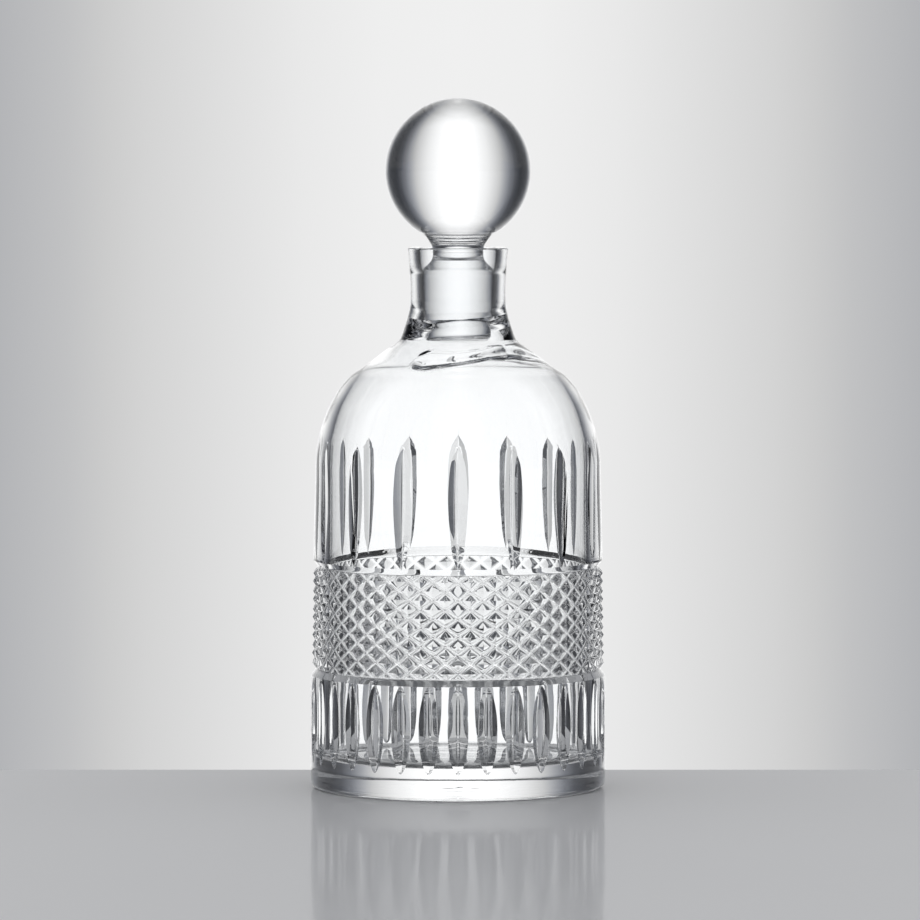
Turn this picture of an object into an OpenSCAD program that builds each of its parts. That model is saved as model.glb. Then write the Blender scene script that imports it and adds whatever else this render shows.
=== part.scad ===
/* [Bottle] */
// Outside diameter of the straight body
body_diameter = 120; // [112:1:126]
// Thickness of the straight wall, measured from the uncut outside
wall = 7.7; // [6:0.1:9]
// Height of the inside floor above the table
floor_height = 12.2; // [9:0.1:18]
// Height of the neck above the cone of the shoulder
neck_height = 37.3; // [37:0.1:43]

/* [Foot] */
// Height of the plain band at the foot
plain_height = 10.7; // [8:0.1:16]
// Rise of the underside inside the resting ring
dish_depth = 1.8; // [1:0.1:3]

/* [Lower cuts] */
// Upright cuts around the lower band
lower_cuts = 32; // [24:1:32]
// Height of the lower band of upright cuts
lower_height = 35.3; // [28:0.1:38]
// Depth of the lower cuts
lower_depth = 3.2; // [1.2:0.1:3.4]
// Width of a lower cut at its middle
lower_width = 8.3; // [6:0.1:8.8]

/* [Diamond band] */
// Diamonds around the band
diamonds = 36; // [30:1:38]
// Rows of whole diamonds, one above the other
diamond_rows = 5; // [4:1:6]
// Height of one diamond
diamond_height = 7.32; // [6:0.02:8]
// Depth of the crossed grooves
diamond_depth = 1.9; // [1.2:0.1:2.4]
// Depth of the two level grooves beside the band
groove_depth = 2; // [1.4:0.1:2.4]
// Width of the two level grooves
groove_width = 5.1; // [4:0.1:6]

/* [Upper cuts] */
// Upright cuts around the upper band
upper_cuts = 16; // [12:1:18]
// Height of the upper cuts
upper_height = 48; // [41:1:48]
// Depth of the upper cuts
upper_depth = 2.2; // [1.4:0.1:2.4]
// Width of an upper cut at its middle
upper_width = 7.8; // [6:0.1:8.4]

/* [Stopper] */
// Diameter of the solid ball
ball_diameter = 59; // [54:0.5:64]
// Diameter of the waist under the ball
waist_diameter = 20.5; // [18:0.5:22]
// Running gap between the plug and the bore, on the radius
seat_gap = 0.05; // [0.03:0.01:0.1]

/* [Display] */
// Piece to draw

/* [Hidden] */
$fn = 96;
rb = body_diameter / 2;
glass_colour = [0.86, 0.91, 0.94, 0.35];

// Heights of the bands, from the table up
z_low0 = plain_height;
z_low1 = z_low0 + lower_height;
z_dia0 = z_low1 + groove_width;
z_dia1 = z_dia0 + diamond_rows * diamond_height;
z_up0 = z_dia1 + groove_width;
z_sh = z_up0 + 36.4;
z_neck = z_sh + 53.3;
z_rim = z_neck + neck_height;

// The body draws in a little towards the shoulder
r_low = rb - 0.2;
r_dia = rb - 0.7;
r_up = rb - 1.2;

// Smooth curve through a short run of points
function crom(a, b, c, d, t) = 0.5 * (2 * b + (c - a) * t + (2 * a - 5 * b + 4 * c - d) * t * t + (3 * b - a - 3 * c + d) * t * t * t);
function smooth_run(p, n) = concat([for (i = [0 : len(p) - 2], k = [0 : n - 1])
    crom(p[max(i - 1, 0)], p[i], p[i + 1], p[min(i + 2, len(p) - 1)], k / n)], [p[len(p) - 1]]);
function lift(p, z) = [for (q = p) [q[0], q[1] + z]];
function arc_run(cx, cz, r, a0, a1, n) = [for (k = [0 : n]) let (a = a0 + (a1 - a0) * k / n) [cx + r * cos(a), cz + r * sin(a)]];

// Shoulder radii are set for a body 120 across and stretch with it outside the foot of the neck
function across(r) = r <= 23.5 ? r : 23.5 + (r - 23.5) * (rb - 23.5) / 36.5;
function stretch(p) = [for (q = p) [across(q[0]), q[1]]];

// Shoulder: dome, then a cone down to the neck; heights from the start of the dome
shoulder = smooth_run(stretch([
    [58, 0], [57.9, 5], [57.25, 9.7], [56.25, 14.5], [54.9, 19.4], [53.1, 24.3],
    [50.6, 29.2], [47.6, 34.1], [43.3, 38.9], [39.4, 41.5], [35.2, 44.4],
    [29.8, 48.5], [25.7, 51.4], [23.5, 53.3]]), 2);
neck = smooth_run([[22.6, 2.3], [21.4, 6], [20.3, 9.6], [19.5, 13.2], [19.3, 18], [19.5, 25.5], [20.3, neck_height - 2.6], [20.5, neck_height - 0.9]], 2);

// Plug and bore share one cone, set by heights under the rim
z_plug0 = z_rim - 34.6;
z_plug1 = z_rim - 10.6;
r_plug0 = 13.4;
r_plug1 = 14.2;
function cone_r(z) = r_plug0 + (r_plug1 - r_plug0) * (z - z_plug0) / (z_plug1 - z_plug0);

outer = concat(
    [[0, dish_depth + 0.75], [6, dish_depth + 0.66], [12, dish_depth + 0.4], [17.5, dish_depth],
     [rb - 20, dish_depth - 0.2], [rb - 12, dish_depth * 0.55], [rb - 8, 0.12], [rb - 7.4, 0]],
    arc_run(rb - 3, 3, 3, -90, 0, 6),
    [[rb, z_low1 - 3], [r_low, z_low1],
     [r_low - groove_depth + 0.1, z_low1 + groove_width / 2], [r_dia + 0.3, z_dia0],
     [r_dia - 0.2, z_dia1], [r_up - groove_depth + 0.2, z_dia1 + groove_width / 2], [r_up, z_up0],
     [r_up, z_up0 + 7.4], [rb - 1.6, z_up0 + 20], [rb - 1.85, z_up0 + 30]],
    lift(shoulder, z_sh),
    lift(neck, z_neck),
    [[20.3, z_rim - 0.3], [19.7, z_rim]]);

ri = rb - wall;
// Inside of the shoulder, from the end of the bore down to the straight wall; heights from the foot of the neck
under_cone = smooth_run(stretch([
    [13.85, 8.8], [14.9, 7.9], [16.3, 6.3], [17.8, 4.3], [19.2, 2.1], [20.7, -0.2], [22.5, -2.5], [25.6, -5.1], [30.8, -9],
    [36.4, -13.1], [40.6, -16.9], [44.2, -21.7]]), 2);
under_dome = stretch([[46.85, -26.6], [48.8, -31.3], [50.2, -35.9], [51.05, -39], [51.55, -41.3], [51.95, -44.3], [52.25, -47.8]]);
inner = concat(
    [[15.9, z_rim], [15.5, z_rim - 0.3], [15.4, z_rim - 1], [15.1, z_rim - 8.1], [cone_r(z_plug1 + 0.6) + seat_gap + 0.15, z_plug1 + 0.6],
     [cone_r(z_plug1 - 0.4) + seat_gap, z_plug1 - 0.4],
     [cone_r(z_plug0 + 6.5) + seat_gap, z_plug0 + 6.5]],
    lift(under_cone, z_neck),
    lift([for (q = under_dome) [q[0] - (wall - 7.7) * (-q[1] - 20) / 31.3, q[1]]], z_neck),
    [[ri, z_neck - 51.3], [ri, floor_height + 13]],
    [for (k = [1 : 7]) let (a = 90 * k / 7) [ri - 4 + 4 * cos(a), floor_height + 4.3 - 4 * sin(a)]],
    [[0, floor_height]]);

// Wheel with a V edge; the cut runs up the wall and fades out at both ends.
// reach is the half height of the cut, bite its depth into the wall, width its width at the middle.
module vee_wheel(r_wall, z_mid, reach, bite, width) {
    r_wheel = (reach * reach + bite * bite) / (2 * bite);
    half = width / 2 / bite;
    translate([0, -(r_wall + r_wheel - bite), z_mid])
        rotate([0, 90, 0])
            rotate_extrude()
                polygon([[r_wheel, 0], [r_wheel - 4, 4 * half], [r_wheel - 4, -4 * half]]);
}

// Tube whose inside is a ring of small pyramids: cutting with it leaves the diamonds.
// Level j runs up the band in half diamonds; every lattice point is a tip or a crossing.
function lat_r(i, j) = ((i + j) % 2 == 0) ? r_dia - 0.15 - diamond_depth : r_dia - 0.15;
module diamond_cutter() {
    n = diamonds;
    m = 2 * diamond_rows;
    a = 180 / n;
    r_out = rb + 3;
    top = z_dia1 + 0.05;
    low = z_dia0 - 0.05;
    inside = [for (j = [0 : m], i = [0 : 2 * n - 1])
        let (r = lat_r(i, j), z = j == 0 ? low : j == m ? top : z_dia0 + (z_dia1 - z_dia0) * j / m)
        [r * sin(a * i), -r * cos(a * i), z]];
    outside = [for (z = [low, top], i = [0 : 2 * n - 1]) [r_out * sin(a * i), -r_out * cos(a * i), z]];
    w = 2 * n;
    o = w * (m + 1);
    faces_in = [for (j = [0 : m - 1], i = [0 : w - 1])
        let (k = (i + 1) % w, p = j * w + i, q = j * w + k, s = p + w, t = q + w)
        each ((i + j) % 2 == 0) ? [[p, t, s], [p, q, t]] : [[p, q, s], [s, q, t]]];
    faces_out = [for (i = [0 : w - 1]) let (k = (i + 1) % w) each [[o + i, o + w + k, o + k], [o + i, o + w + i, o + w + k]]];
    faces_low = [for (i = [0 : w - 1]) let (k = (i + 1) % w) each [[i, o + k, k], [i, o + i, o + k]]];
    faces_top = [for (i = [0 : w - 1]) let (k = (i + 1) % w, b = m * w) each [[b + k, o + w + i, b + i], [b + k, o + w + k, o + w + i]]];
    polyhedron(points = concat(inside, outside), faces = concat(faces_in, faces_out, faces_low, faces_top), convexity = 8);
}

module bottle() {
    color(glass_colour)
        difference() {
            rotate_extrude() polygon(concat(outer, inner));
            for (i = [0 : upper_cuts - 1]) rotate([0, 0, i * 360 / upper_cuts])
                vee_wheel(rb - 1.55, z_up0 + upper_height / 2, upper_height / 2, upper_depth, upper_width);
            for (i = [0 : lower_cuts - 1]) rotate([0, 0, i * 360 / lower_cuts])
                vee_wheel(rb, (z_low0 + z_low1) / 2, lower_height / 2, lower_depth, lower_width);
            diamond_cutter();
        }
}

module stopper() {
    rw = waist_diameter / 2;
    z_ball = z_rim + 31.1;
    rs = ball_diameter / 2;
    plug = concat(
        [[0, z_plug0], [r_plug0 - 1, z_plug0], [r_plug0, z_plug0 + 0.9], [r_plug1, z_plug1], [r_plug1 + 0.05, z_plug1 + 0.9]],
        lift(smooth_run([[12.9, -7.7], [11.6, -6.1], [rw + 0.45, -4.5], [rw, -2.3], [rw + 0.35, 0.4], [rw + 0.95, 1.6], [rw + 1.75, 2.8], [rw + 3.75, 5.3]], 2), z_rim),
        [[rw + 3.75, z_ball - 8], [0, z_ball - 8]]);
    color(glass_colour)
        union() {
            rotate_extrude() polygon(plug);
            translate([0, 0, z_ball]) sphere(r = rs);
        }
}

bottle();
stopper();
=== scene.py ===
import math
import bpy
import numpy as np
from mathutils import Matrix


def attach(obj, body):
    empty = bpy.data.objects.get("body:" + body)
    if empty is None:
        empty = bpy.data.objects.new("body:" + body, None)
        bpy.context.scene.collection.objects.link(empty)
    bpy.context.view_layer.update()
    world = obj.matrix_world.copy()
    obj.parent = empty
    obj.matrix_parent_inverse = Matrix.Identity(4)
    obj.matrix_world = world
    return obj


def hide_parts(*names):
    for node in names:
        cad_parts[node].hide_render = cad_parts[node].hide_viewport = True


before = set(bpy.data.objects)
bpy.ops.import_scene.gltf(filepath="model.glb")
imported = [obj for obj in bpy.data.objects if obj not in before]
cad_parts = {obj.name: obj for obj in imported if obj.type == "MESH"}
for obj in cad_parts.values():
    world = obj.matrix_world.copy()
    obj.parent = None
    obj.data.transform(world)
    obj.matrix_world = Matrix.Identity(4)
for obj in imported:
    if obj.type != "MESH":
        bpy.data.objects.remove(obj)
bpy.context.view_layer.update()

MM = 0.001
scene = bpy.context.scene

# ---------------------------------------------------------------- dimensions, in millimetres, as in part.scad
RB = 60.0
Z_LOW0, Z_LOW1 = 10.7, 46.0
Z_DIA0 = Z_LOW1 + 5.1
LIFT = Z_DIA0 - 49.9
ROW = 7.32
Z_DIA1 = Z_DIA0 + 5 * ROW
Z_UP0 = Z_DIA1 + 5.1
UP_H = 48.0
Z_SH = Z_UP0 + 36.4
Z_NECK = Z_SH + 53.3
Z_RIM = Z_NECK + 37.3
DISH = 1.8
RI = 52.3
FLOOR = 12.2
Z_PLUG0, Z_PLUG1 = Z_RIM - 34.6, Z_RIM - 10.6
R_PLUG0, R_PLUG1 = 13.4, 14.2


def crom(p, n):
    """Catmull-Rom through p, n steps to a span."""
    p = np.asarray(p, float)
    out = []
    for i in range(len(p) - 1):
        a, b, c, d = p[max(i - 1, 0)], p[i], p[i + 1], p[min(i + 2, len(p) - 1)]
        for k in range(n):
            t = k / n
            out.append(0.5 * (2 * b + (c - a) * t + (2 * a - 5 * b + 4 * c - d) * t * t + (3 * b - a - 3 * c + d) * t ** 3))
    out.append(p[-1])
    return np.array(out)


def cone_r(z):
    return R_PLUG0 + (R_PLUG1 - R_PLUG0) * (z - Z_PLUG0) / (Z_PLUG1 - Z_PLUG0)


def soft_abs(h, c):
    """|h| from 0 to 1 with its corner rounded over about c."""
    return (np.sqrt(h * h + c * c) - c) / (math.sqrt(1 + c * c) - c)


# ---------------------------------------------------------------- mesh builder
class Build:
    def __init__(self):
        self.parts = []
        self.n = 0
        self.faces = []
        self.tags = []

    def verts(self, th, r, z, tag=0.0):
        """Points at angle th from -Y towards +X."""
        th, r, z = np.broadcast_arrays(np.asarray(th, float), np.asarray(r, float), np.asarray(z, float))
        at = np.stack([r * np.sin(th), -r * np.cos(th), z], 1)
        self.parts.append(at)
        self.tags.append(np.full(len(at), tag))
        ids = np.arange(self.n, self.n + len(at))
        self.n += len(at)
        return ids

    def quads(self, a, b):
        """Ring a to ring b of the same count."""
        a2, b2 = np.roll(a, -1), np.roll(b, -1)
        self.faces.extend(np.stack([a, a2, b2, b], 1).tolist())

    def zip(self, a, ta, b, tb):
        """Ring a to ring b of any counts; ta and tb are angles that rise from about the same start."""
        n, m = len(a), len(b)
        ta = np.append(ta, ta[0] + 2 * math.pi)
        tb = np.append(tb, tb[0] + 2 * math.pi)
        i = j = 0
        while i < n or j < m:
            if j >= m or (i < n and ta[i + 1] <= tb[j + 1] + 1e-12):
                self.faces.append([int(a[i]), int(a[(i + 1) % n]), int(b[j % m])])
                i += 1
            else:
                self.faces.append([int(a[i % n]), int(b[(j + 1) % m]), int(b[j])])
                j += 1

    def fan(self, centre, ring, flip=False):
        nxt = np.roll(ring, -1)
        for p, q in zip(ring.tolist(), nxt.tolist()):
            self.faces.append([centre, q, p] if not flip else [centre, p, q])

    def mesh(self, name, angle, shape=None):
        at = np.concatenate(self.parts)
        if shape is not None:
            at = shape(at)
        me = bpy.data.meshes.new(name)
        me.from_pydata((at * MM).tolist(), [], self.faces)
        me.validate()
        at_tag = me.attributes.new("ground", "FLOAT", "POINT")
        at_tag.data.foreach_set("value", np.concatenate(self.tags).astype(np.float32))
        me.shade_smooth()
        me.set_sharp_from_angle(angle=math.radians(angle))
        ob = bpy.data.objects.new(name, me)
        bpy.context.collection.objects.link(ob)
        return ob


IN_Z = [150, 154.7, 159.6, 164.4, 168.4, 172.3, 176.4, 178.7, 180.4, 181.5]
IN_R = [49.6, 47.8, 45.1, 41.5, 37.1, 31.3, 25.9, 22.1, 16, 14]


def fold(at):
    """The lap that gathering and blowing left inside the shoulder: a low ridge that climbs from the front left to the right."""
    x, y, z = at[:, 0], at[:, 1], at[:, 2] - LIFT
    r = np.hypot(x, y)
    phi = np.degrees(np.arctan2(x, -y))
    inside = (z > 150) & (z < 179) & (r > 13.2) & (r < np.interp(z, IN_Z, IN_R))
    mid = np.interp(phi, [-45, -25, 0, 25, 48, 70, 95, 125], [171.0, 171.4, 172.9, 174.6, 175.2, 173.4, 169.5, 163.0])
    wide = np.interp(phi, [-40, -22, -5, 20, 50, 80, 125], [1.0, 1.8, 1.2, 0.95, 1.8, 1.5, 1.2])
    amp = 3.5 * np.interp(phi, [-34, -27, -12, 5, 25, 40, 65, 85, 120], [0, 1.0, 0.9, 0.6, 0.55, 0.9, 1.0, 0.6, 0]) * (1 + 0.15 * np.sin(np.radians(phi * 6.0)))
    d = z - mid
    h = amp * (np.exp(-(d / wide) ** 2) - 0.2 * np.exp(-((d - 2.0 * wide) / wide) ** 2)) * inside
    out = at.copy()
    out[:, 2] -= 0.75 * h
    # The end of the bore runs a little out of level, as the neck was drawn
    w = np.interp(z, [181.5, 184.5, 188], [0, 0.5, 1]) * ((z > 181.5) & (z < 190.3) & (r > 13.7) & (r < np.interp(z, [181.5, 183.4, 185.6, 187.6, 190.3], [21.4, 20.2, 18.8, 17.4, 15.2])))
    out[:, 2] += w * (0.065 * x - 0.95)
    # The underside was ground and polished by hand, so it is very slightly uneven
    under = (at[:, 2] < 3.6) & (r < 48)
    lively = np.interp(r, [0, 3, 14, 22, 28, 40, 48], [1, 1, 1, 0.5, 0.15, 0.05, 0])
    ripple = 0.8 * np.sin(x * 1.1 + 1.1 + 0.5 * np.sin(y * 0.2 + 0.7)) + 0.45 * np.sin(x * 0.7 - y * 0.12 + 0.6) + 0.2 * np.sin(y * 0.5 + 0.4)
    out[:, 2] += np.where(under, 0.1 * lively * ripple, 0)
    out[:, 2] = np.where(under, np.maximum(out[:, 2], 0.15), out[:, 2])
    k = 1 - 0.6 * h / np.maximum(r, 1)
    out[:, 0] *= k
    out[:, 1] *= k
    return out


def turn(n, start=0.0):
    return start + 2 * math.pi * np.arange(n) / n


# ---------------------------------------------------------------- bottle
def bottle_mesh():
    b = Build()
    NL = 256
    th = turn(NL)

    # Underside, from the middle out, then the foot and the plain band
    low = [(r, DISH + 0.75 * max(0.0, 1 - (r / 17.5) ** 2)) for r in np.linspace(1.2, 24, 20)]
    low += [(r, DISH - 0.012 * (r - 24)) for r in (26, 28, 30.5, 33, 36, 39, 42)]
    low += [(RB - 15, DISH * 0.78), (RB - 12, DISH * 0.5), (RB - 9.5, DISH * 0.2), (RB - 8, 0.06), (RB - 7.4, 0.0), (RB - 5.2, 0.0)]
    low += [(RB - 3 + 3 * math.sin(a), 3 - 3 * math.cos(a)) for a in np.radians(np.linspace(0, 90, 9))]
    low += [(RB, 6.0)]
    mid = int(b.verts([0.0], [0.0], [DISH + 0.75])[0])
    ring = None
    for r, z in low:
        new = b.verts(th, r, z)
        if ring is None:
            b.fan(mid, new)
        else:
            b.quads(ring, new)
        ring = new

    # Lower cuts
    n_cut, tall = 32, Z_LOW1 - Z_LOW0
    u_in = np.array([-1, -0.8, -0.55, -0.3, -0.14, -0.05, 0.05, 0.14, 0.3, 0.55, 0.8, 1.0])
    v_out = np.array([0.25, 0.5, 0.75])
    rows = np.concatenate([[0.0, 0.012, 0.03], np.linspace(0.06, 0.94, 25), [0.97, 0.988, 1.0]])

    def body_r(z):
        return np.interp(z, [0, Z_LOW1 - 4, Z_LOW1, Z_DIA0, Z_DIA1, Z_UP0, Z_UP0 + 7.4, Z_UP0 + 20, Z_UP0 + 30, Z_SH],
                         [RB, RB, RB - 0.2, RB - 0.4, RB - 0.9, RB - 1.2, RB - 1.25, RB - 1.6, RB - 1.85, RB - 2.0])

    def cut_ring(z, n, w, depth, start, r=None):
        """One ring through n cuts of half width w mm and that depth."""
        r = body_r(z) if r is None else r
        half = w / r
        pitch = 2 * math.pi / n
        ang, rad = [], []
        for k in range(n):
            c = start + k * pitch
            ang.extend(c + u_in * half)
            rad.extend(r - depth * (1 - soft_abs(u_in, 0.07)))
            ang.extend(c + half + v_out * (pitch - 2 * half))
            rad.extend([r] * len(v_out))
        return np.array(ang), np.array(rad)

    start = 0.0
    prev_t = None
    for t in rows:
        z = Z_LOW0 + tall * t
        s = max(0.0, 1 - (2 * t - 1) ** 2) ** (0.62 if t > 0.5 else 0.6)
        w = max(0.06, 4.15 * s)
        ang, rad = cut_ring(z, n_cut, w, 3.2 * s, start)
        if prev_t is None:
            for z_below in (9.5, Z_LOW0 - 0.5):
                new = b.verts(ang, RB, z_below)
                if z_below == 9.5:
                    b.zip(np.roll(ring, 1), turn(NL, -2 * math.pi / NL), new, ang)
                else:
                    b.quads(ring, new)
                ring = new
        new = b.verts(ang, rad, z)
        b.quads(ring, new)
        ring, prev_t = new, ang

    # The diamond lattice in half cells: i round the body, j up it
    n_half = 72
    r_tip = RB - 0.7 - 0.1
    r_bot = r_tip - 1.95
    C_GROOVE = 0.15

    def lattice(i, j):
        """Height of the pyramids from 0 to 1 at any place."""
        fi, fj = np.floor(i), np.floor(j)
        a, c = i - fi, j - fj
        even = (np.mod(fi + fj, 2) == 0)
        return np.where(even, np.abs(a - c), np.abs(a + c - 1))

    def lat_r(h, z):
        tip = np.interp(z, [Z_DIA0, Z_DIA1], [RB - 0.5, RB - 1.0])
        flat = np.clip((h - 0.07) / 0.93, 0, None)
        return tip - 1.86 * (1 - soft_abs(flat, C_GROOVE))

    NV = 720
    tv = turn(NV)

    # Lower level groove: its upper face is notched by the crossed grooves
    zc = (Z_LOW1 + Z_DIA0) / 2
    half_g = (Z_DIA0 - Z_LOW1) / 2

    def groove_r(z, zmid, r_edge_low, r_edge_high, depth):
        d = np.abs(z - zmid) / half_g
        edge = np.where(z < zmid, r_edge_low, r_edge_high)
        return edge - depth * (1 - soft_abs(d, 0.09))

    def i_of(t):
        return t / math.radians(5.0)

    zs = [Z_LOW1 + d for d in (0.0, 0.5, 1.1, 1.7, 2.15, 2.4, 2.55)]
    first = True
    for z in zs[1:]:
        r = groove_r(np.array(z), zc, RB - 0.2, RB - 0.5, 1.9)
        new = b.verts(tv, float(r), z)
        if first:
            b.zip(ring, prev_t, np.roll(new, 1), turn(NV, -2 * math.pi / NV))
            first = False
        else:
            b.quads(ring, new)
        ring = new
    for z in [zc + d for d in (0.15, 0.4, 0.65, 0.9, 1.15, 1.4, 1.65, 1.9, 2.15, 2.4)]:
        rg = groove_r(np.array(z), zc, RB - 0.2, RB - 0.5, 1.9)
        rl = lat_r(lattice(i_of(tv) % n_half, (z - Z_DIA0) / (ROW / 2) + 2.0), Z_DIA0)
        new = b.verts(tv, np.minimum(rg, rl), z)
        b.quads(ring, new)
        ring = new
    groove_top, t_groove = ring, tv

    # Diamond patches, welded by place
    H = [0.0, 0.07, 0.14, 0.21, 0.32, 0.5, 0.75]
    M = 4
    K = 100000
    seen = {}
    pts = []

    def vid(i, j, h):
        key = (int(round((i % n_half) * K)) % (n_half * K), int(round(j * K)))
        if key not in seen:
            seen[key] = b.n + len(pts)
            z = Z_DIA0 + j * ROW / 2
            t = math.radians(5.0) * (key[0] / K)
            r = float(lat_r(np.array(h), z))
            pts.append((r * math.sin(t), -r * math.cos(t), z))
        return seen[key]

    tris = []
    for j in range(0, 11):
        for i in range(n_half):
            if (i + j) % 2 == 0:
                continue
            ring4 = [(i + 1, j), (i, j + 1), (i - 1, j), (i, j - 1)]
            for q in range(4):
                c1, c2 = ring4[q], ring4[(q + 1) % 4]
                if min(c1[1], c2[1]) < 0 or max(c1[1], c2[1]) > 10:
                    continue
                grid = []
                for h in H:
                    row = []
                    for m in range(M + 1):
                        pi = (1 - h) * (c1[0] + (c2[0] - c1[0]) * m / M) + h * i
                        pj = (1 - h) * (c1[1] + (c2[1] - c1[1]) * m / M) + h * j
                        row.append(vid(pi, pj, h))
                    grid.append(row)
                top = vid(i, j, 1.0)
                for k in range(len(H) - 1):
                    for m in range(M):
                        tris.append([grid[k][m], grid[k][m + 1], grid[k + 1][m + 1], grid[k + 1][m]])
                for m in range(M):
                    tris.append([grid[-1][m], grid[-1][m + 1], top])
    b.parts.append(np.array(pts))
    b.tags.append(np.zeros(len(pts)))
    b.n += len(pts)
    b.faces.extend(tris)

    def edge_ring(j):
        got = sorted((key[0] / K, v) for key, v in seen.items() if key[1] == j * K)
        return np.array([v for _, v in got]), np.radians(5.0) * np.array([k for k, _ in got])

    lo, t_lo = edge_ring(0)
    hi, t_hi = edge_ring(10)
    b.zip(groove_top, t_groove, lo, t_lo)

    # Upper level groove
    zc2 = (Z_DIA1 + Z_UP0) / 2
    ring = None
    for z in [zc2 - d for d in (2.4, 2.15, 1.9, 1.65, 1.4, 1.15, 0.9, 0.65, 0.4, 0.15)]:
        rg = groove_r(np.array(z), zc2, RB - 1.0, RB - 1.2, 1.95)
        rl = lat_r(lattice(i_of(tv) % n_half, (z - Z_DIA0) / (ROW / 2)), Z_DIA1)
        new = b.verts(tv, np.minimum(rg, rl), z)
        if ring is None:
            b.zip(hi, t_hi, new, tv)
        else:
            b.quads(ring, new)
        ring = new
    for z in [zc2 + d for d in (0.0, 0.15, 0.4, 0.85, 1.4, 2.0)]:
        r = groove_r(np.array(z), zc2, RB - 1.0, RB - 1.2, 1.95)
        new = b.verts(tv, float(r), z)
        b.quads(ring, new)
        ring = new

    # Upper cuts
    n_cut = 16
    outline = np.array([(0, 0.2), (0.06, 1.35), (0.125, 2.3), (0.25, 3.0), (0.35, 3.45), (0.48, 3.85), (0.6, 3.95), (0.73, 3.65), (0.86, 3.0), (0.925, 2.1), (0.965, 1.3), (1.0, 0.06)])
    fine = crom(outline, 8)
    rows = np.concatenate([np.linspace(0, 0.86, 27), [0.89, 0.915, 0.94, 0.96, 0.975, 0.985, 0.993, 1.0]])
    z_dome = Z_SH + np.array([0, 5, 9.7, 14.5])
    r_dome = RB - np.array([2.0, 2.1, 2.75, 3.75])
    u_keep, v_keep = u_in, v_out
    u_in = np.array([-1, -0.85, -0.65, -0.45, -0.28, -0.15, -0.06, 0.0, 0.06, 0.15, 0.28, 0.45, 0.65, 0.85, 1.0])
    v_out = np.linspace(0, 1, 9)[1:-1]
    dome = crom(np.stack([z_dome, r_dome], 1), 8)
    first = True
    for t in rows:
        z = Z_UP0 + UP_H * t
        w = float(np.interp(t, fine[:, 0], fine[:, 1]))
        r = float(body_r(z)) if z <= Z_SH else float(np.interp(z, dome[:, 0], dome[:, 1]))
        ang, rad = [], []
        half, pitch = w / r, 2 * math.pi / n_cut
        depth = w * math.tan(math.radians(30))
        for k in range(n_cut):
            c = k * pitch
            # The wheel leans a little, so the bottom of the cut lies just to one side of its middle
            ang.extend(c + (u_in - 0.13 * (1 - np.abs(u_in))) * half)
            rad.extend(r - depth * (1 - soft_abs(u_in, 0.07)))
            ang.extend(c + half + v_out * (pitch - 2 * half))
            rad.extend([r] * len(v_out))
        ang, rad = np.array(ang), np.array(rad)
        new = b.verts(ang, rad, z)
        if first:
            b.zip(np.roll(ring, 1), turn(NV, -2 * math.pi / NV), new, ang)
            first = False
        else:
            b.quads(ring, new)
        ring = new

    # Dome, cone, neck, rim, bore, inner shoulder, chamber and floor
    sh = crom([(RB - 2.0, 0), (RB - 2.1, 5), (RB - 2.75, 9.7), (RB - 3.75, 14.5), (RB - 5.1, 19.4), (RB - 6.9, 24.3),
               (RB - 9.4, 29.2), (RB - 12.4, 34.1), (RB - 16.7, 38.9), (RB - 20.6, 41.5), (RB - 24.8, 44.4),
               (RB - 30.2, 48.5), (RB - 34.3, 51.4), (RB - 36.5, 53.3)], 3) + [0, Z_SH]
    sh = sh[sh[:, 1] > Z_UP0 + UP_H + 0.5]
    neck = crom([(RB - 36.5, 53.3 - 53.3), (22.6, 2.3), (21.4, 6), (20.3, 9.6), (19.5, 13.2), (19.3, 18), (19.5, 25.5), (20.3, 34.7), (20.5, 36.4)], 3)[1:] + [0, Z_NECK]
    rim = np.array([(20.42, Z_RIM - 0.55), (20.15, Z_RIM - 0.22), (19.75, Z_RIM - 0.03), (19.4, Z_RIM), (17.5, Z_RIM), (16.1, Z_RIM),
                    (15.85, Z_RIM - 0.05), (15.62, Z_RIM - 0.22), (15.52, Z_RIM - 0.5), (15.45, Z_RIM - 1.2), (15.3, Z_RIM - 4.5), (15.1, Z_RIM - 8.1)])
    bore = [(cone_r(Z_PLUG1 + 0.6) + 0.2, Z_PLUG1 + 0.6), (cone_r(Z_PLUG1 - 0.4) + 0.05, Z_PLUG1 - 0.4)]
    for z in np.linspace(Z_PLUG1 - 3, Z_PLUG0 + 8, 6):
        bore.append((cone_r(z) + 0.05, z))
    bore += [(cone_r(Z_PLUG0 + 6.5) + 0.05, Z_PLUG0 + 6.5)]
    inn = crom([(13.85, 190.1), (14.9, 189.2), (16.3, 187.6), (17.8, 185.6), (19.2, 183.4), (20.7, 181.1), (22.5, 178.8), (25.6, 176.2), (30.8, 172.3), (36.4, 168.2), (40.6, 164.4), (44.2, 159.6),
                (46.85, 154.7), (48.8, 150), (50.2, 145.4), (51.05, 142.3), (51.55, 140), (51.95, 137), (52.25, 133.5), (RI, 130)], 16) + [0, LIFT]
    steps = np.hypot(*np.diff(inn, axis=0).T)
    keep, gone = [0], 0.0
    for k, d in enumerate(steps, 1):
        gone += d
        if gone > (0.38 if 162 < inn[k, 1] < 178.5 else 0.9) or k == len(steps):
            keep.append(k)
            gone = 0.0
    inn = inn[keep]
    wall = [(RI, z) for z in np.linspace(126 + LIFT, FLOOR + 6, 18)]
    corner = [(RI - 4 + 4 * math.cos(a), FLOOR + 4.3 - 4 * math.sin(a)) for a in np.radians(np.linspace(0, 90, 11))]
    flr = [(42, FLOOR + 0.28), (34, FLOOR + 0.24), (26, FLOOR + 0.2), (18, FLOOR + 0.15), (10, FLOOR + 0.05), (4, FLOOR)]
    prof = np.concatenate([sh, neck, rim, np.array(bore), inn, np.array(wall), np.array(corner), np.array(flr)])
    first = True
    for r, z in prof:
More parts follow.
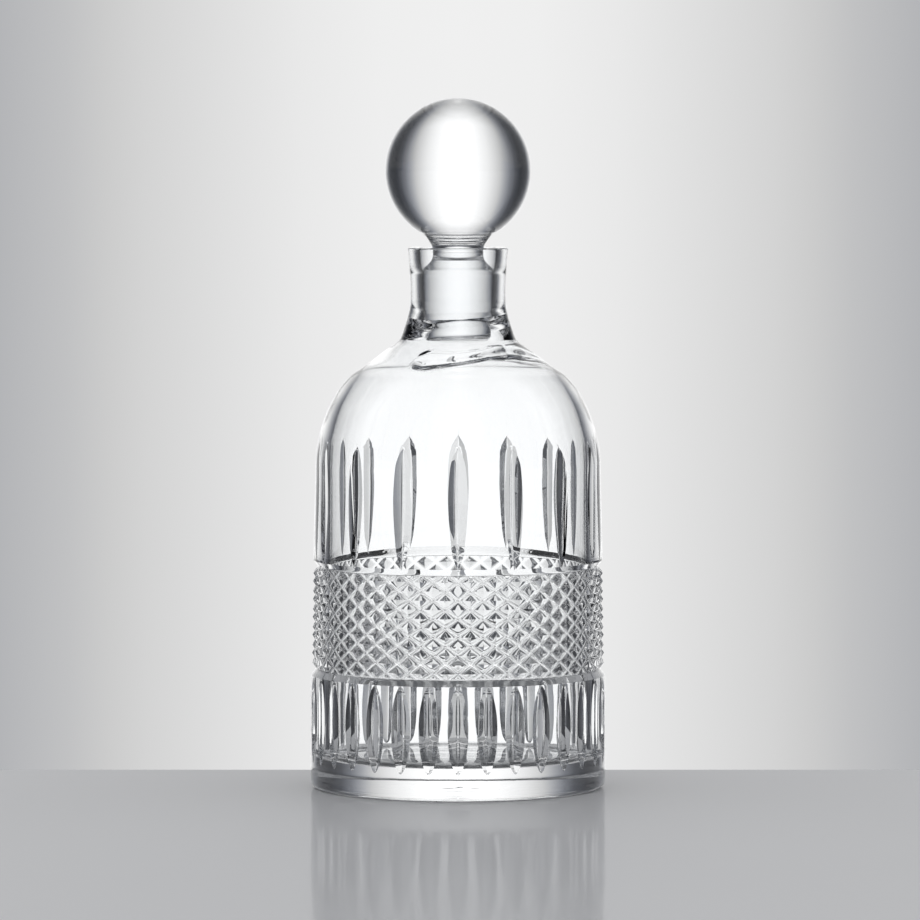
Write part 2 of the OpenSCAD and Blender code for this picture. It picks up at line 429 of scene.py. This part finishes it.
        in_bore = 1.0 if (r < 14.6 and Z_PLUG0 + 6.6 < z < Z_PLUG1 + 0.3) else 0.0
        new = b.verts(th, r, z, in_bore)
        if first:
            b.zip(ring, ang, np.roll(new, 1), turn(NL, -2 * math.pi / NL))
            first = False
        else:
            b.quads(ring, new)
        ring = new
    mid = int(b.verts([0.0], [0.0], [FLOOR])[0])
    b.fan(mid, ring, flip=True)
    return b.mesh("decanter_bottle", 24, fold)


def stopper_mesh():
    b = Build()
    N = 224
    th = turn(N)
    zb, rs, rw = Z_RIM + 31.1, 29.5, 10.25
    rows = [(3, Z_PLUG0), (7, Z_PLUG0), (R_PLUG0 - 1.1, Z_PLUG0), (R_PLUG0 - 0.75, Z_PLUG0 + 0.12), (R_PLUG0 - 0.25, Z_PLUG0 + 0.5), (R_PLUG0, Z_PLUG0 + 1.0)]
    rows = [(r, z, 0.0) for r, z in rows]
    rows += [(cone_r(z), z, 1.0) for z in np.linspace(Z_PLUG0 + 1.8, Z_PLUG1, 9)]
    waist = crom([(R_PLUG1 + 0.05, -9.9), (R_PLUG1 - 0.1, -9.0), (12.9, -7.7), (11.6, -6.1), (rw + 0.45, -4.5), (rw, -2.3), (rw + 0.35, 0.4), (rw + 0.95, 1.6), (rw + 1.75, 2.8), (rw + 2.75, 4.15), (rw + 4.0, 5.45), (rs * math.sin(0.56), 31.1 - rs * math.cos(0.56))], 8) + [0, Z_RIM]
    rows += [(r, z, 0.0) for r, z in waist]
    a0 = 0.59
    for a in np.linspace(a0, math.pi - 0.03, 84):
        rows.append((rs * math.sin(a), zb - rs * math.cos(a), 0.0))
    mid = int(b.verts([0.0], [0.0], [Z_PLUG0])[0])
    ring = None
    for r, z, g in rows:
        new = b.verts(th, r, z, g)
        if ring is None:
            b.fan(mid, new)
        else:
            b.quads(ring, new)
        ring = new
    top = int(b.verts([0.0], [0.0], [zb + rs])[0])
    b.fan(top, ring, flip=True)
    return b.mesh("decanter_stopper", 40)


# ---------------------------------------------------------------- materials
def glass(name, rough=0.0, wave=0.02, wave_scale=55.0):
    m = bpy.data.materials.new(name)
    m.use_nodes = True
    nt = m.node_tree
    nt.nodes.clear()
    out = nt.nodes.new("ShaderNodeOutputMaterial")
    p = nt.nodes.new("ShaderNodeBsdfPrincipled")
    nt.links.new(p.outputs[0], out.inputs[0])
    p.inputs["Base Color"].default_value = (0.985, 0.992, 0.996, 1)
    p.inputs["Transmission Weight"].default_value = 1.0
    p.inputs["IOR"].default_value = 1.54
    p.inputs["Metallic"].default_value = 0.0
    co = nt.nodes.new("ShaderNodeTexCoord")
    ground = nt.nodes.new("ShaderNodeAttribute")
    ground.attribute_name = "ground"
    grain = nt.nodes.new("ShaderNodeTexNoise")
    grain.inputs["Scale"].default_value = 900.0
    grain.inputs["Detail"].default_value = 2.0
    nt.links.new(co.outputs["Object"], grain.inputs["Vector"])
    # The ground cone is matt; the rest is fire polished
    mr = nt.nodes.new("ShaderNodeMapRange")
    mr.inputs["From Min"].default_value = 0.3
    mr.inputs["From Max"].default_value = 0.7
    mr.inputs["To Min"].default_value = 0.015
    mr.inputs["To Max"].default_value = 0.045
    nt.links.new(grain.outputs["Fac"], mr.inputs["Value"])
    mul = nt.nodes.new("ShaderNodeMath")
    mul.operation = "MULTIPLY"
    nt.links.new(mr.outputs[0], mul.inputs[0])
    nt.links.new(ground.outputs["Fac"], mul.inputs[1])
    nt.links.new(mul.outputs[0], p.inputs["Roughness"])
    # Slow waves of blown and polished glass
    wav = nt.nodes.new("ShaderNodeTexNoise")
    wav.inputs["Scale"].default_value = wave_scale
    wav.inputs["Detail"].default_value = 1.0
    nt.links.new(co.outputs["Object"], wav.inputs["Vector"])
    bump = nt.nodes.new("ShaderNodeBump")
    bump.inputs["Strength"].default_value = wave
    bump.inputs["Distance"].default_value = 0.001
    nt.links.new(wav.outputs["Fac"], bump.inputs["Height"])
    nt.links.new(bump.outputs[0], p.inputs["Normal"])
    return m


bottle = bottle_mesh()
stopper = stopper_mesh()
bottle.data.materials.append(glass("bottle_glass"))
stopper.data.materials.append(glass("stopper_glass", wave=0.01))
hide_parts("bottle")
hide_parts("stopper")
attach(bottle, "bottle")
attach(stopper, "stopper")

# ---------------------------------------------------------------- table top, light and camera
me = bpy.data.meshes.new("table_top")
X0, X1, Y0, Y1 = -6.0, 6.0, -6.0, 0.0655
me.from_pydata([(X0, Y0, 0), (X1, Y0, 0), (X1, Y1, 0), (X0, Y1, 0)], [], [(0, 1, 2, 3)])
floor = bpy.data.objects.new("table_top", me)
bpy.context.collection.objects.link(floor)
floor.location.z = -0.00005
fm = bpy.data.materials.new("table_top")
fm.use_nodes = True
nt = fm.node_tree
p = nt.nodes["Principled BSDF"]
co = nt.nodes.new("ShaderNodeTexCoord")
noise = nt.nodes.new("ShaderNodeTexNoise")
noise.inputs["Scale"].default_value = 3.0
nt.links.new(co.outputs["Object"], noise.inputs["Vector"])
ramp = nt.nodes.new("ShaderNodeValToRGB")
ramp.color_ramp.elements[0].color = (0.86, 0.86, 0.86, 1)
ramp.color_ramp.elements[1].color = (0.89, 0.89, 0.89, 1)
nt.links.new(noise.outputs["Fac"], ramp.inputs[0])
nt.links.new(ramp.outputs[0], p.inputs["Base Color"])
p.inputs["Roughness"].default_value = 1.0
p.inputs["Specular IOR Level"].default_value = 0.0
# A thin satin lacquer gives a faint, soft-edged reflection
sheen = nt.nodes.new("ShaderNodeBsdfGlossy")
sheen.inputs["Roughness"].default_value = 0.09
mixer = nt.nodes.new("ShaderNodeMixShader")
mixer.inputs[0].default_value = 0.16
nt.links.new(p.outputs[0], mixer.inputs[1])
nt.links.new(sheen.outputs[0], mixer.inputs[2])
nt.links.new(mixer.outputs[0], nt.nodes["Material Output"].inputs[0])
floor.data.materials.append(fm)

world = bpy.data.worlds.new("studio")
scene.world = world
world.use_nodes = True
nt = world.node_tree
nt.nodes.clear()
out = nt.nodes.new("ShaderNodeOutputWorld")
bg = nt.nodes.new("ShaderNodeBackground")
nt.links.new(bg.outputs[0], out.inputs[0])
co = nt.nodes.new("ShaderNodeTexCoord")
sep = nt.nodes.new("ShaderNodeSeparateXYZ")
nt.links.new(co.outputs["Generated"], sep.inputs[0])


def math_node(op, a, b=None, clamp=False):
    n = nt.nodes.new("ShaderNodeMath")
    n.operation = op
    n.use_clamp = clamp
    for k, v in enumerate((a, b)):
        if v is None:
            continue
        if isinstance(v, (int, float)):
            n.inputs[k].default_value = v
        else:
            nt.links.new(v, n.inputs[k])
    return n.outputs[0]


def curve(value, lo, hi, pts):
    """A value read off a ramp whose stops are pts of (place, brightness) between lo and hi."""
    mr = nt.nodes.new("ShaderNodeMapRange")
    mr.inputs["From Min"].default_value = lo
    mr.inputs["From Max"].default_value = hi
    nt.links.new(value, mr.inputs["Value"])
    cr = nt.nodes.new("ShaderNodeValToRGB")
    cr.color_ramp.interpolation = "LINEAR"
    el = cr.color_ramp.elements
    while len(el) < len(pts):
        el.new(0.5)
    for e, (x, v) in zip(el, pts):
        e.position = (x - lo) / (hi - lo)
        e.color = (v, v, v, 1)
    nt.links.new(mr.outputs[0], cr.inputs[0])
    return cr.outputs[0]


az = math_node("ARCTAN2", sep.outputs["X"], sep.outputs["Y"])
az = math_node("ABSOLUTE", math_node("DIVIDE", az, math.radians(1)))
el = math_node("DIVIDE", math_node("ARCSINE", sep.outputs["Z"]), math.radians(1))
across = curve(az, 0, 180, [(0, 1.19), (8, 1.16), (12, 1.07), (17, 0.94), (21, 0.80), (26, 0.61), (31, 0.38), (36, 0.20), (42, 0.08), (50, 0.032), (66, 0.03),
                           (77, 0.18), (85, 0.42), (95, 0.42), (103, 0.18), (114, 0.03), (150, 0.04), (164, 0.30), (180, 0.5)])
up = curve(el, -90, 90, [(-90, 0.40), (-58, 0.50), (-46, 0.68), (-38, 0.86), (-30, 1.0), (34, 1.0), (43, 0.8), (60, 0.55), (90, 0.45)])
seen_through = math_node("MULTIPLY", across, up)


def mix(a, b, t):
    """a where t is 0, b where t is 1."""
    return math_node("ADD", math_node("MULTIPLY", a, math_node("SUBTRACT", 1.0, t)), math_node("MULTIPLY", b, t))


# Below the table's far edge and at the sides and back, the room floor is as grey as the table top
edge = math_node("MULTIPLY", curve(az, 0, 180, [(0, 0.69), (30, 0.69), (50, 0.02), (180, 0.02)]), -10.0)
below = math_node("LESS_THAN", el, edge)
aside = curve(az, 0, 180, [(0, 0.0), (68, 0.0), (80, 1.0), (180, 1.0)])
seen_through = mix(seen_through, 0.41, math_node("MULTIPLY", below, aside))
# The backdrop as it is looked at directly: plain, a little darker away from the middle
behind = curve(az, 0, 180, [(0, 0.87), (0.7, 0.86), (1.3, 0.825), (2.3, 0.715), (2.9, 0.645), (3.57, 0.535), (4.1, 0.465), (14, 0.55), (30, 0.72), (180, 0.72)])
path = nt.nodes.new("ShaderNodeLightPath")
direct = math_node("MULTIPLY", mix(behind, 0.395, below), path.outputs["Is Camera Ray"])
other = math_node("MULTIPLY", seen_through, math_node("SUBTRACT", 1.0, path.outputs["Is Camera Ray"]))
level = math_node("ADD", direct, other)
# Even light from the soft box overhead on the matt table
matt = path.outputs["Is Diffuse Ray"]
level = math_node("ADD", math_node("MULTIPLY", level, math_node("SUBTRACT", 1.0, matt)), math_node("MULTIPLY", 0.46, matt))
nt.links.new(level, bg.inputs["Strength"])
tint = nt.nodes.new("ShaderNodeValToRGB")
tint.color_ramp.elements[0].color = (0.78, 0.84, 1.0, 1)
tint.color_ramp.elements[1].color = (1.0, 1.0, 1.0, 1)
tint.color_ramp.elements[1].position = 0.6
nt.links.new(math_node("ADD", level, math_node("MULTIPLY", below, 0.1)), tint.inputs[0])
nt.links.new(tint.outputs[0], bg.inputs["Color"])

cam = bpy.data.cameras.new("camera")
cam.sensor_width = 36.0
cam.lens = 250.6
cam.dof.use_dof = False
cam.clip_start = 0.05
cam.clip_end = 50
camera = bpy.data.objects.new("camera", cam)
bpy.context.collection.objects.link(camera)
camera.location = (0.0008, -2.600, 0.2796)
camera.rotation_euler = (math.radians(90 - 3.22), 0, 0)
scene.camera = camera
scene.view_settings.view_transform = "Standard"
scene.view_settings.look = "None"
if hasattr(scene, "cycles"):
    scene.cycles.max_bounces = 32
    scene.cycles.transmission_bounces = 32
    scene.cycles.glossy_bounces = 12
    scene.cycles.diffuse_bounces = 3
    scene.cycles.caustics_reflective = True
    scene.cycles.caustics_refractive = True
    scene.cycles.blur_glossy = 0.5
    scene.cycles.sample_clamp_indirect = 6.0
